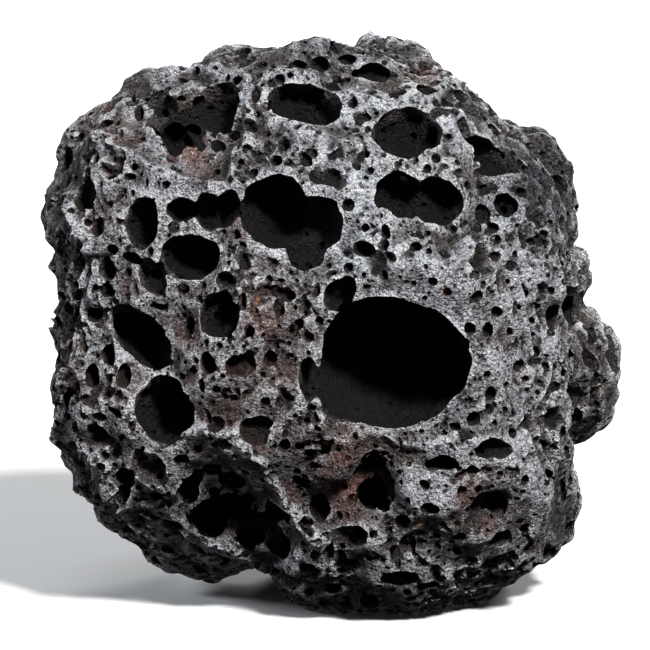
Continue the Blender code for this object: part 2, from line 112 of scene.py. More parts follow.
# Mouths of the front's vesicles: x, z, half width, half height, turn in degrees, depth against the mean half size,
# and for a cell on the floor of a basin, how far in it starts
vesicles = {
    "wide": [
        (9.9, -5.3, 10.8, 9.7, 0, 1.35), (4.2, -9.4, 5.3, 4.9, 30, 0.85), (-7.1, 17.0, 5.4, 5.4, 0, 1.2), (-1.1, 15.4, 4.1, 4.1, 0, 1.2),
        (-2.6, 11.3, 3.2, 3.2, 0, 1.2), (-2.9, 32.3, 5.5, 3.9, -20, 1.2), (12.4, 28.4, 4.9, 4.5, 0, 1.3),
        (11.0, 18.8, 4.0, 3.9, 0, 1.0), (16.8, 18.3, 3.6, 3.6, 0, 1.3), (24.6, 25.1, 4.8, 2.9, -12, 1.3),
        (-20.0, 10.1, 4.6, 3.4, 0, 1.2), (-26.9, -2.0, 6.6, 3.3, -40, 1.1), (-23.7, -12.8, 4.6, 5.1, 0, 1.1),
        (-25.7, 7.4, 2.9, 2.0, -60, 1.2), (-17.4, 17.0, 1.9, 2.8, 10, 1.8), (-14.6, 17.5, 1.9, 3.0, -20, 1.8),
        (-21.2, 17.3, 2.4, 1.8, 0, 1.6), (-26.9, 15.3, 2.9, 3.8, 0, 1.0), (-15.8, 1.2, 2.9, 3.6, 0, 1.2),
        (-2.3, -8.1, 1.6, 3.3, 0, 1.2), (2.4, 4.8, 3.0, 2.0, 45, 1.3), (-22.4, 27.2, 2.7, 3.0, 0, 2.0, 2.4),
        (-15.4, 31.6, 3.7, 5.2, 10, 0.95, 1.4), (-20.0, 29.5, 6.8, 6.8, 0, 0.5), (-24.5, 33.0, 2.4, 2.0, 0, 0.7, 1.2), (-32.3, 33.1, 2.2, 2.0, 0, 1.1), (-35.6, 19.6, 2.2, 3.0, 0, 1.1), (-38.6, 24.2, 1.5, 2.3, 0, 1.1),
        (-32.3, 8.4, 1.6, 1.8, 0, 0.9), (-12.6, -5.8, 2.2, 2.0, 0, 0.8), (-34.2, -16.7, 1.8, 2.0, 0, 1.1),
        (-26.0, -21.3, 3.0, 3.3, 0, 0.6), (-20.7, -24.0, 1.8, 3.0, 0, 1.2, 1.0), (-17.3, -29.0, 2.6, 3.2, 0, 1.1, 2.0),
        (-22.1, -30.1, 2.4, 2.2, 0, 0.9), (-13.6, -22.3, 2.6, 2.2, 0, 1.2, 2.0), (-12.2, -27.0, 3.4, 2.2, 0, 1.2, 3.0),
        (-11.1, -31.8, 2.2, 2.0, 0, 1.1, 2.0), (-6.8, -27.6, 2.3, 2.4, 0, 1.1, 1.5), (-6.2, -33.1, 2.5, 2.0, 0, 1.1),
        (-13.4, -27.0, 8.2, 6.4, -20, 0.32), (6.4, -22.2, 4.8, 5.6, 0, 0.42), (23.2, -27.2, 5.0, 3.3, 0, 0.5),
        (7.6, -20.2, 3.2, 2.4, 0, 0.9, 1.6), (2.4, -23.6, 1.6, 2.6, 0, 1.1, 1.0), (7.2, -25.6, 2.5, 2.6, 0, 1.0, 1.6),
        (21.6, -27.6, 1.9, 1.5, 0, 1.0, 1.6), (25.6, -26.4, 1.5, 1.7, 0, 1.0, 1.5), (36.2, 2.2, 1.5, 3.2, 10, 1.3),
        (43.0, -2.8, 1.4, 1.8, 0, 0.7), (39.2, 4.6, 1.4, 1.7, 0, 0.8), (33.4, -30.6, 1.5, 1.2, 0, 0.9),
        (-0.7, -27.2, 1.5, 2.4, 0, 1.2), (4.0, -31.8, 3.4, 1.8, 0, 0.9), (25.2, -18.6, 3.2, 1.5, 0, 1.1),
        (25.8, -31.9, 2.3, 1.5, 0, 1.2), (11.3, -38.0, 2.8, 1.4, 0, 1.2), (-10.5, -15.8, 2.5, 2.2, 0, 0.7),
        (27.0, 17.7, 1.8, 2.1, 0, 1.2), (23.6, 16.7, 1.3, 1.5, 0, 1.2), (21.0, 28.8, 2.2, 2.2, 0, 0.7),
        (39.6, -5.4, 1.6, 2.0, 20, 1.1), (-31.5, -27.0, 1.4, 3.6, -35, 1.0), (17.6, -20.6, 2.6, 1.2, 0, 1.2),
        (-36.0, -2.2, 0.9, 2.6, 0, 1.3), (34.2, 1.2, 1.3, 2.4, 0, 1.4),
        (37.5, -14.2, 1.2, 2.2, 0, 1.1), (15.0, 34.9, 1.9, 1.3, 0, 1.1), (6.9, 37.6, 3.0, 1.6, 0, 0.9),
    ],
    # x, z, half width, half height, turn in degrees
    "narrow": [
        (-24.7, 30.7, 2.5, 1.1, 0), (-16.0, 26.5, 1.2, 1.3, 0), (-14.9, 6.6, 1.5, 1.3, 0), (-17.4, -5.7, 1.3, 1.8, 0),
        (-32.2, -4.5, 1.2, 1.6, 0), (-30.0, -23.0, 1.5, 1.8, 0), (-19.2, -22.2, 0.9, 2.0, 0), (-16.8, -21.2, 1.5, 1.3, 0),
        (-21.6, -20.1, 1.1, 0.9, 0), (-35.0, -7.5, 1.2, 1.8, 0), (-30.2, -7.7, 1.2, 1.8, 0), (-16.4, -15.0, 1.3, 1.4, 0),
        (-25.2, -25.5, 1.2, 0.9, 0), (21.8, -37.2, 1.2, 0.9, 0), (15.5, -39.1, 1.8, 0.8, 0), (30.5, -33.4, 1.2, 1.1, 0),
        (34.6, 17.4, 0.8, 1.6, 0), (30.4, 23.0, 1.3, 0.8, 0), (1.2, 35.4, 1.1, 1.2, 0), (17.1, 32.0, 1.2, 1.2, 0),
        (-10.4, 34.5, 0.8, 1.4, 0), (3.3, 39.7, 1.5, 1.0, 0), (-0.8, 39.0, 1.5, 1.2, 0), (-3.9, 38.8, 1.5, 0.8, 0),
        (-1.2, 22.2, 1.2, 1.1, 0), (1.1, 22.3, 1.2, 1.1, 0), (6.0, 11.4, 1.8, 1.3, 0), (29.1, -6.1, 1.1, 1.0, 0),
        (40.5, -8.2, 1.3, 1.2, 0), (38.3, 6.9, 1.3, 1.5, 0), (-38.4, -11.5, 0.8, 2.5, 0), (15.8, -27.6, 1.5, 0.9, 0),
        (26.2, -27.0, 1.1, 1.5, 0), (11.7, -29.5, 1.3, 1.3, 0), (20.5, -24.9, 1.2, 0.9, 0), (24.8, -25.5, 1.5, 0.6, 0),
        (-29.1, 34.5, 0.7, 1.6, 0), (-27.9, 31.6, 0.8, 1.2, 0), (-36.5, 27.9, 0.9, 0.9, 0), (-33.2, 29.7, 1.9, 1.2, 0),
        (-21.3, 36.3, 0.8, 0.8, 0), (-17.9, 36.0, 0.8, 0.8, 0), (-16.2, 35.3, 0.8, 1.1, 0), (-13.2, 36.3, 1.0, 1.0, 0),
        (-16.4, 38.4, 0.6, 0.6, 0), (-35.7, 22.9, 1.2, 0.8, 0), (-38.5, 21.5, 0.8, 1.3, 0), (-31.0, 24.0, 0.6, 1.0, 0),
        (-29.2, 22.2, 1.0, 0.6, 0), (-23.8, 21.0, 0.7, 0.7, 0), (-22.6, 14.7, 0.8, 0.8, 0), (-32.2, 18.0, 0.7, 0.7, 0),
        (-34.0, 14.6, 1.0, 1.6, 0), (-30.7, 15.3, 0.7, 0.7, 0), (-31.8, 11.4, 1.0, 0.8, 0), (-28.8, 10.1, 1.6, 0.8, -20),
        (-32.7, 5.3, 1.1, 1.2, 0), (-21.0, 5.4, 1.0, 0.9, 0), (-13.8, 4.8, 0.8, 0.8, 0), (-12.3, 3.5, 0.6, 1.3, 0),
        (-18.9, 3.9, 0.6, 0.6, 0), (-29.7, 4.2, 0.6, 0.6, 0), (-34.8, -1.1, 0.8, 1.1, 0), (-18.4, -9.1, 0.6, 1.2, 0),
        (-16.2, -9.6, 0.7, 0.7, 0), (-13.7, -10.9, 0.6, 0.6, 0), (-11.3, -4.3, 0.8, 0.8, 0), (-36.0, -11.2, 0.8, 0.8, 0),
        (-32.0, -17.4, 1.0, 0.8, 0), (-33.8, -13.8, 1.2, 0.7, 0), (-31.4, -13.1, 1.6, 0.5, -35), (-28.9, -15.2, 0.6, 0.9, 0),
        (-30.1, -16.8, 0.6, 0.6, 0), (-13.8, -17.2, 0.8, 0.8, 0), (-26.7, -28.3, 0.7, 0.7, 0), (-25.5, -28.9, 0.8, 0.8, 0),
        (-23.5, -33.7, 1.2, 0.8, 0), (-5.4, 4.3, 1.2, 0.9, 0), (-6.9, 2.5, 0.9, 1.4, 0), (3.6, 8.5, 0.8, 0.8, 0),
        (8.8, 12.0, 0.8, 0.8, 0), (9.8, 10.2, 1.1, 0.8, -25), (6.1, 14.6, 0.7, 0.7, 0), (9.1, 14.1, 0.8, 1.1, 0),
        (-2.4, -1.8, 0.9, 0.9, 0), (-8.3, -5.0, 1.1, 1.2, 0), (-6.7, -11.5, 0.8, 0.8, 0), (-8.9, -11.5, 0.8, 0.8, 0),
        (-6.3, -10.0, 0.6, 0.6, 0), (-11.2, 10.2, 0.5, 0.5, 0), (-7.6, 9.2, 0.6, 0.6, 0), (-11.2, 7.2, 0.6, 0.6, 0),
        (4.2, 33.3, 0.7, 1.1, 0), (6.8, 34.9, 1.1, 0.6, 0), (6.3, 31.1, 0.7, 0.7, 0), (-7.9, 36.2, 0.7, 0.7, 0),
        (-6.8, 36.9, 0.8, 0.8, 0), (-9.4, 38.9, 0.8, 0.6, 0), (-8.6, 27.0, 0.6, 0.6, 0), (-11.7, 26.4, 0.7, 0.7, 0),
        (-10.6, 22.7, 0.8, 0.8, 0), (1.2, 25.2, 0.8, 0.6, 0), (6.9, 23.1, 0.6, 0.6, 0), (10.8, 34.7, 1.3, 1.1, 0),
        (15.0, 38.8, 1.1, 1.2, 0), (19.4, 32.0, 0.6, 0.9, 0), (25.2, 29.2, 0.7, 1.3, 50), (30.7, 26.7, 0.8, 0.8, 0),
        (32.7, 25.5, 0.9, 0.6, 0), (28.8, 29.0, 0.9, 0.9, 0), (20.0, 22.8, 0.8, 0.8, 0), (22.8, 22.7, 1.5, 0.8, 0),
        (21.2, 20.9, 0.8, 0.8, 0), (23.5, 19.6, 0.7, 0.7, 0), (25.4, 20.3, 0.7, 0.7, 0), (29.4, 19.7, 1.0, 1.0, 0),
        (32.1, 16.2, 0.9, 0.9, 0), (19.2, 14.3, 0.7, 0.7, 0), (22.8, 14.4, 0.5, 0.8, 0), (25.1, 14.6, 0.9, 0.8, 0),
        (25.7, 12.8, 0.7, 0.7, 0), (27.5, 13.2, 0.5, 0.5, 0), (30.8, 12.5, 0.8, 0.8, 0), (32.7, 13.5, 0.8, 0.8, 0),
        (25.7, 10.2, 1.1, 0.8, 0), (27.8, 9.0, 0.8, 0.9, 0), (22.5, 7.5, 0.8, 0.8, 0), (16.1, 6.6, 0.8, 0.8, 0),
        (18.3, 5.1, 0.8, 0.8, 0), (15.6, 11.1, 0.6, 0.6, 0), (13.4, 6.2, 0.5, 0.5, 0), (24.2, -0.4, 0.9, 1.1, 0),
        (27.6, -0.9, 0.6, 0.9, 0), (28.5, -2.9, 0.8, 0.8, 0), (28.5, 2.4, 0.5, 1.2, 0), (35.6, -16.1, 0.6, 1.3, 0), (34.5, -9.3, 0.8, 0.8, 0), (24.5, -12.6, 0.8, 0.8, 0),
        (25.4, -14.7, 0.5, 0.5, 0), (19.5, -15.3, 0.8, 0.6, 0), (31.7, -17.2, 0.6, 0.6, 0), (16.2, -21.4, 0.7, 0.7, 0),
        (28.7, -22.2, 0.8, 0.8, 0), (33.4, -22.2, 0.8, 0.8, 0), (35.7, -25.0, 0.6, 1.8, 0), (20.2, -31.8, 0.9, 0.9, 0),
        (24.8, -36.1, 0.9, 0.8, 0), (25.4, -37.8, 1.1, 0.7, 0), (13.2, -33.1, 0.5, 1.5, 0), (12.3, -40.0, 0.7, 0.7, 0),
        (17.0, -40.8, 0.8, 0.5, 0), (-9.4, -14.6, 1.8, 1.1, 0), (-10.5, -16.4, 0.8, 0.8, 0), (-6.0, -18.0, 0.9, 1.4, 0),
        (-0.3, -12.7, 0.5, 0.5, 0), (-2.8, -14.4, 0.6, 0.6, 0), (-2.0, -12.3, 0.9, 0.5, 0), (4.2, -12.6, 0.9, 0.9, 0),
        (-3.6, -23.5, 1.6, 0.8, -30), (-1.5, -21.1, 1.1, 0.6, 0), (9.4, -33.0, 0.9, 1.1, 0), (-1.0, -32.6, 0.7, 0.7, 0),
        (-1.4, -34.5, 0.8, 1.2, 0), (0.5, -34.0, 0.9, 1.6, 0), (2.4, -34.8, 1.0, 1.8, 0), (-2.0, -36.3, 0.8, 0.8, 0),
        (1.2, -39.4, 1.3, 1.3, 0), (-2.4, -40.0, 0.8, 0.8, 0), (-10.6, -36.0, 1.0, 0.8, 0),
    ],
    "hiddenCount": 72,
    "hiddenSeed": 7,
    "largeEvery": 6,
    "hiddenLarge": (3.4, 7.2),
    "hiddenSmall": (1.3, 2.7),
    "voxel": 0.24,
    "ruffle": 0.38,
}

relief = {
    # noise size, height and offset of the knobs and dips
    "knobs": [(11.0, 1.8, (2.0, 7.1, 0.4)), (5.0, 0.8, (8.3, 1.9, 6.6)), (2.2, 0.30, (0.7, 5.5, 3.3))],
    # spacing of the cells, smallest and largest radius against it, share of cells that are open
    "cells": [(4.8, 0.20, 0.48, 0.62, 11.0), (2.6, 0.18, 0.50, 0.72, 47.0), (1.6, 0.2, 0.5, 0.6, 83.0)],
    "drawnIn": 0.55,
    "cellDepth": 1.0,
    "rimKept": 1.5,
    "warp": 0.34,
    # upright strands: middle x and z, half sizes, height
    "strands": [(-37.0, -4.0, 4.6, 20.0, 1.7), (33.5, -4.0, 3.0, 20.0, 1.2), (25.0, 2.0, 6.0, 12.0, 0.5)],
    # sharp ridges that bound the face and its basins: points x, z, then height and half width
    "ridges": [
        ([(-39.0, 19.0), (-34.2, 8.2), (-36.0, 3.8), (-34.9, -3.0), (-37.4, -9.0), (-38.0, -15.8), (-32.8, -21.6),
          (-30.8, -26.4), (-28.4, -31.6)], 1.7, 0.8),
        ([(-22.0, -16.5), (-15.0, -16.2), (-9.6, -20.6), (-6.2, -26.8), (-1.2, -32.6)], 1.5, 0.8),
        ([(26.5, 20.5), (32.2, 13.6), (33.6, 3.8), (32.9, -4.0), (34.8, -14.0), (33.8, -22.0), (30.2, -31.0)], 1.5, 0.9),
        ([(-34.0, 28.0), (-27.0, 24.6), (-22.6, 21.2), (-14.6, 20.4), (-11.4, 26.0), (-11.6, 34.0)], 1.6, 0.9),
        ([(-26.0, 37.0), (-18.8, 38.6), (-11.4, 36.8), (-9.8, 35.2)], 1.2, 0.8),
        ([(-11.0, 34.8), (-8.0, 37.0), (0.5, 36.4), (4.6, 33.6), (9.2, 33.8), (16.5, 34.6)], 1.2, 0.8),
        ([(-19.3, 35.6), (-19.0, 31.0), (-17.6, 26.8)], 1.6, 1.0),
        ([(1.0, -17.0), (9.0, -16.2), (15.2, -18.2), (22.0, -17.0)], 1.0, 0.9),
        ([(-29.0, -30.0), (-20.6, -33.0), (-12.4, -34.8), (-5.0, -37.0)], 1.0, 0.8),
    ],
    # where the crust is closer grained: middle x and z, half sizes, how far the cells are held back
    "plain": [
        (20.0, 4.0, 7.0, 10.0, 0.5), (27.0, -6.0, 5.0, 12.0, 0.6), (5.0, 21.0, 8.0, 4.0, 0.35),
        (-23.0, 23.0, 7.5, 3.0, 0.6), (14.2, -23.6, 4.0, 3.6, 0.85), (13.0, -16.6, 8.0, 1.8, 0.5),
        (31.5, -24.0, 3.6, 6.5, 0.6), (8.0, 9.5, 9.0, 3.6, 0.4), (-1.0, -14.0, 6.0, 3.5, 0.3),
    ],
}

pores = {
    "seed": 23,
    # smallest and largest radius, how many, least wall between two, sides and rings of each
    "sizes": [(1.35, 2.1, 90, 0.34, 12, 8), (0.8, 1.35, 430, 0.24, 9, 7), (0.46, 0.8, 1650, 0.18, 8, 6),
              (0.24, 0.46, 1500, 0.14, 6, 5)],
    "inside": 0.04,
    "hiddenShare": 0.55,
}

facesKept = 196000


def pick(obj):
    bpy.ops.object.select_all(action="DESELECT")
    obj.select_set(True)
    bpy.context.view_layer.objects.active = obj


def applyModifier(obj, kind, **settings):
    pick(obj)
    modifier = obj.modifiers.new(kind.title(), kind)
    for name, value in settings.items():
        setattr(modifier, name, value)
    bpy.ops.object.modifier_apply(modifier=modifier.name)


def joinAll(objects, name):
    bpy.ops.object.select_all(action="DESELECT")
    for obj in objects:
        obj.select_set(True)
    bpy.context.view_layer.objects.active = objects[0]
    if len(objects) > 1:
        bpy.ops.object.join()
    joined = bpy.context.view_layer.objects.active
    joined.name = name
    return joined


def readPoints(obj):
    points = np.empty(len(obj.data.vertices) * 3, np.float32)
    obj.data.vertices.foreach_get("co", points)
    return points.reshape(-1, 3).astype(float)


def writePoints(obj, points):
    obj.data.vertices.foreach_set("co", points.astype(np.float32).ravel())
    obj.data.update()


def countTriangles(obj):
    return sum(len(face.vertices) - 2 for face in obj.data.polygons)


def smoothStep(value):
    value = min(1.0, max(0.0, value))
    return value * value * (3 - 2 * value)


def outlineTable():
    # the radius at every half degree, crisp and averaged over 40 degrees
    pairs = []
    for x, z in block["outline"]:
        dx, dz = x - block["centre"][0], z - block["centre"][1]
        pairs.append((math.atan2(dz, dx), math.hypot(dx, dz)))
    pairs.sort()
    angles = np.array([pair[0] for pair in pairs])
    radii = np.array([pair[1] for pair in pairs])
    steps = np.radians(np.arange(-180, 180, 0.5))
    crisp = np.interp(steps, angles, radii, period=2 * math.pi)
    soft = sum(np.interp(steps + math.radians(turn), angles, radii, period=2 * math.pi)
               for turn in range(-20, 21, 5)) / 9
    return crisp, np.minimum(soft, crisp + 0.8)


def readTable(table, angle):
    place = (math.degrees(angle) + 180) * 2 % 720
    low = int(place)
    share = place - low
    return table[low % 720] * (1 - share) + table[(low + 1) % 720] * share


def swellHeight(x, z):
    height = 0.0
    for cx, cz, rx, rz, turn, peak in block["swells"]:
        a = math.radians(turn)
        dx, dz = x - cx, z - cz
        along = (dx * math.cos(a) + dz * math.sin(a)) / rx
        across = (-dx * math.sin(a) + dz * math.cos(a)) / rz
        height += peak * math.exp(-(along * along + across * across))
    return height


def lumps(point, size, offset):
    return noise.fractal(point / size + Vector(offset), 1.0, 2.0, 3)


def blockPoint(way, crisp, soft):
    side = math.hypot(way.x, way.z)
    angle = math.atan2(way.z, way.x)
    depth = -way.y
    boxiness = block["boxiness"]
    half = block["frontHalf"] if depth > 0 else block["backHalf"]
    grow = (side ** boxiness + abs(depth) ** boxiness) ** (-1 / boxiness)
    edge = 1 - smoothStep(half * abs(depth) * grow / block["outlineBand"])
    radius = readTable(soft, angle) * (1 - edge) + readTable(crisp, angle) * edge
    inner = smoothStep((abs(depth) - 0.12) / 0.5)
    point = Vector((block["centre"][0] + radius * side * grow * math.cos(angle), -half * depth * grow,
                    block["centre"][1] + radius * side * grow * math.sin(angle)))
    point += way * inner * (1.9 * lumps(point, 17.0, (3.1, 0.7, 5.2)))
    point += way * (0.3 + 0.7 * inner) * 0.55 * lumps(point, 6.0, (9.4, 2.2, 1.3))
    if depth > 0:
        point.y -= smoothStep(depth / 0.4) * swellHeight(point.x, point.z)
    return point


def standUp(obj):
    lean = Matrix.Rotation(-drawing["lean"], 4, "X")
    shift = Matrix.Translation(Vector(drawing["shift"]) * mm)
    obj.data.transform(shift @ lean)


def makeBlock():
    crisp, soft = outlineTable()
    bpy.ops.mesh.primitive_ico_sphere_add(subdivisions=7, radius=1.0)
    body = bpy.context.object
    points = [blockPoint(Vector(point).normalized(), crisp, soft) * mm for point in readPoints(body)]
    writePoints(body, np.array(points))
    parts = [body]
    for x, z, toward, rx, rz, ry in block["lobes"]:
        bpy.ops.mesh.primitive_ico_sphere_add(subdivisions=5, radius=1.0)
        lobe = bpy.context.object
        points = []
        for point in readPoints(lobe):
            way = Vector(point)
            bump = 1 + 0.10 * noise.fractal(way * 2.1 + Vector((x, toward, z)), 1.0, 2.0, 3)
            points.append(((x + way.x * rx * bump) * mm, (-toward + way.y * ry * bump) * mm,
                           (z + way.z * rz * bump) * mm))
        writePoints(lobe, np.array(points))
        parts.append(lobe)
    rock = joinAll(parts, "lavaRock")
    applyModifier(rock, "REMESH", mode="VOXEL", voxel_size=block["voxel"] * mm)
    applyModifier(rock, "SMOOTH", factor=0.5, iterations=7)
    standUp(rock)
    print("block", len(rock.data.polygons))
    return rock


def treeOf(obj):
    return BVHTree.FromPolygons([tuple(point) for point in readPoints(obj)],
                                [tuple(face.vertices) for face in obj.data.polygons])


def addTexture(name, kind, size, **settings):
    texture = bpy.data.textures.new(name, kind)
    texture.noise_scale = size * mm
    for key, value in settings.items():
        setattr(texture, key, value)
    return texture


def onDrawing(points):
    # where each point shows on the drawing plane, mm, and how much it faces the viewer
    inverse = toWorld().inverted()
    turn, move = np.array(inverse.to_3x3()), np.array(inverse.translation)
    drawn = (points @ turn.T + move) / mm
    eye = drawing["eyeDistance"]
    share = (eye / (eye + drawn[:, 1]))[:, None]
    return drawn[:, (0, 2)] * share, np.clip((-drawn[:, 1] + 8) / 12, 0, 1)


def holdBack(points):
    plane, facing = onDrawing(points)
    held = np.zeros(len(points))
    for x, z, halfWide, halfHigh, strength in relief["plain"]:
        away = ((plane[:, 0] - x) / halfWide) ** 2 + ((plane[:, 1] - z) / halfHigh) ** 2
        held = np.maximum(held, strength * np.exp(-away * away))
    return held * facing


def pointNormals(obj):
    normals = np.empty(len(obj.data.vertices) * 3, np.float32)
    obj.data.vertex_normals.foreach_get("vector", normals)
    return normals.reshape(-1, 3).astype(float)


def nearRidges(plane):
    # how near each point lies to a listed ridge, 1 on its crest, and the height there
    near, height = np.zeros(len(plane)), np.zeros(len(plane))
    for line, high, half in relief["ridges"]:
        for start, end in zip(line, line[1:]):
            start, along = np.array(start), np.array(end) - np.array(start)
            share = np.clip((plane - start) @ along / (along @ along), 0, 1)
            away = np.linalg.norm(plane - start - share[:, None] * along, axis=1) / half
            here = np.exp(-away * np.sqrt(away))
            near = np.maximum(near, here)
            height = np.maximum(height, here * high)
    return near, height


def raiseKnobs(rock):
    points, normals = readPoints(rock), pointNormals(rock)
    rise = np.full(len(points), -relief["drawnIn"])
    for size, height, offset in relief["knobs"]:
        shift = Vector(offset)
        rise += height * np.array([noise.fractal(Vector(point) / (size * mm) + shift, 0.9, 2.1, 2) for point in points])
    plane, facing = onDrawing(points)
    for x, z, halfWide, halfHigh, height in relief["strands"]:
        near = np.exp(-((plane[:, 0] - x) / halfWide) ** 2 - ((plane[:, 1] - z) / halfHigh) ** 2) * facing
        for index in np.flatnonzero(near > 0.05):
            across, along = plane[index]
            strand = 1 - abs(noise.noise(Vector((across / 1.5 + 0.3 * math.sin(along / 3.1), along / 10.0, 3.7)))) * 3.4
            rise[index] += height * near[index] * max(strand, -0.4)
    wobble = np.array([noise.noise_vector(Vector((x / 4.0, z / 4.0, 1.0))).xy for x, z in plane])
    rise += nearRidges(plane + wobble * 1.3)[1] * facing
    writePoints(rock, points + normals * rise[:, None] * mm)


def pressCells(rock):
    # open cells of three sizes, weaker round the listed mouths and along the outline
    points, normals = readPoints(rock), pointNormals(rock)
    held = holdBack(points)
    plane, facing = onDrawing(points)
    for x, z, halfWide, halfHigh, turn, share, *start in vesicles["wide"]:
        a = math.radians(turn)
        dx, dz = plane[:, 0] - x, plane[:, 1] - z
        away = np.hypot((dx * math.cos(a) + dz * math.sin(a)) / halfWide, (dz * math.cos(a) - dx * math.sin(a)) / halfHigh)
        rim = np.clip(1 - np.abs(away - 1.05) * (halfWide + halfHigh) / 2 / relief["rimKept"], 0, 1)
        held = np.maximum(held, np.minimum(1, rim * 2) * 0.9 * facing)
    edge = np.exp(-(((points @ np.array(toWorld().inverted().to_3x3()).T)[:, 1] / mm) / 9.0) ** 2)
    held = np.maximum(held, edge * 0.5)
    sunk = np.zeros(len(points))
    for spacing, low, high, openShare, salt in relief["cells"]:
        shift = Vector((salt, salt * 0.7, salt * 1.3))
        for index, point in enumerate(points):
            place = Vector(point) / (spacing * mm) + shift
            place += noise.noise_vector(place * 1.9) * relief["warp"]
            away, middles = noise.voronoi(place, distance_metric="DISTANCE")
            middle = middles[0]
            chance = math.sin(middle.x * 12.99 + middle.y * 78.23 + middle.z * 37.72) * 4375.85 % 1.0
            if chance > openShare * (1 - held[index]):
                continue
            radius = low + (high - low) * (chance / openShare)
            inside = 1 - (away[0] / radius) ** 2
            if inside > 0:
                sunk[index] = max(sunk[index], spacing * radius * relief["cellDepth"] * math.sqrt(inside))
    writePoints(rock, points - normals * sunk[:, None] * mm)
    print("cells pressed in, share %.2f" % (sunk > 0).mean())


def crumble(obj, name, kind, size, height, **settings):
    texture = addTexture(name, kind, size, **settings)
    applyModifier(obj, "DISPLACE", texture=texture, texture_coords="LOCAL", strength=height * mm, mid_level=0.5)


def toWorld():
    return Matrix.Translation(Vector(drawing["shift"]) * mm) @ Matrix.Rotation(-drawing["lean"], 4, "X")


def addBlob(matrix, half, faces, salt):
    bpy.ops.mesh.primitive_ico_sphere_add(subdivisions=faces, radius=1.0)
    blob = bpy.context.object
    points = readPoints(blob)
    offset = Vector((salt * 0.37, salt * 0.11, 4.2))
    grown = [Vector(point) * (1 + 0.10 * noise.fractal(Vector(point) * 1.5 + offset, 1.0, 2.0, 2)) for point in points]
    writePoints(blob, np.array([matrix @ Vector((g.x * half[0] * mm, g.y * half[1] * mm, g.z * half[2] * mm))
                                for g in grown]))
    return blob


def detail(half):
    mean = sum(half) / 3
    return 5 if mean > 4.5 else 4 if mean > 1.8 else 3


def frontBlobs(tree):
    # each hollow sits a little below the surface, so that the eye sees the listed mouth
    world = toWorld()
    eye = world @ Vector((0.0, -drawing["eyeDistance"] * mm, 0.0))
    listed = list(vesicles["wide"]) + [mouth + (1.3,) for mouth in vesicles["narrow"]]
    blobs, mouths = [], []
    for number, (x, z, halfWide, halfHigh, turn, share, *start) in enumerate(listed):
        way = (world @ Vector((x * mm, 0.0, z * mm)) - eye).normalized()
        spot = tree.ray_cast(eye, way)[0]
        if spot is None:
            continue
        halfDeep = share * (halfWide + halfHigh) / 2
        middle = spot + way * (0.3 * halfDeep + sum(start)) * mm
        matrix = Matrix.Translation(middle) @ Matrix.Rotation(-drawing["lean"], 4, "X") \
            @ Matrix.Rotation(-math.radians(turn), 4, "Y")
        half = (halfWide * 1.05, halfDeep, halfHigh * 1.05)
        blobs.append(addBlob(matrix, half, detail(half), number))
        if share > 0.65 and not start:
            mouths.append((middle, (halfWide + halfHigh) / 2))
    return blobs, mouths


def hiddenBlobs(tree):
    dice = random.Random(vesicles["hiddenSeed"])
    spiral = math.pi * (3 - math.sqrt(5))
    count = int(vesicles["hiddenCount"] * 1.9)
    world = toWorld()
    turnBack = world.to_3x3()
    blobs, mouths = [], []
    for step in range(count):
        height = 1 - 2 * (step + 0.5) / count
        ring = math.sqrt(1 - height * height)
        turn = spiral * step + dice.uniform(-0.15, 0.15)
        way = Vector((ring * math.cos(turn), ring * math.sin(turn), height))
        low, high = vesicles["hiddenLarge"] if len(blobs) % vesicles["largeEvery"] == 2 else vesicles["hiddenSmall"]
        half = [dice.uniform(low, high), dice.uniform(low, high), dice.uniform(low, high)]
        spin = dice.uniform(0, math.pi)
        if way.y < -0.05 or way.z < -0.62 or len(blobs) >= vesicles["hiddenCount"]:
            continue
        start = world @ Vector((block["centre"][0] * mm, 0.0, block["centre"][1] * mm))
        way = turnBack @ way
        spot, normal = tree.ray_cast(start + way * 0.2, -way)[:2]
        facing = normal.to_track_quat("Z", "Y").to_matrix().to_4x4()
        middle = spot - normal * 0.3 * half[2] * mm
        matrix = Matrix.Translation(middle) @ facing @ Matrix.Rotation(spin, 4, "Z")
        blobs.append(addBlob(matrix, half, detail(half), 500 + step))
        mouths.append((middle, max(half[0], half[1])))
    return blobs, mouths


def cutAway(rock, cutter):
    applyModifier(rock, "BOOLEAN", operation="DIFFERENCE", solver="MANIFOLD", object=cutter)
    bpy.data.objects.remove(cutter, do_unlink=True)


def cutVesicles(rock, tree):
    blobs, mouths = frontBlobs(tree)
    more, others = hiddenBlobs(tree)
    hollows = joinAll(blobs + more, "hollows")
    applyModifier(hollows, "REMESH", mode="VOXEL", voxel_size=vesicles["voxel"] * mm)
    crumble(hollows, "wallCrumb", "CLOUDS", 2.6, vesicles["ruffle"] * 2, noise_depth=3)
    cutAway(rock, hollows)
    print("vesicles cut", len(rock.data.polygons))
    return mouths + others


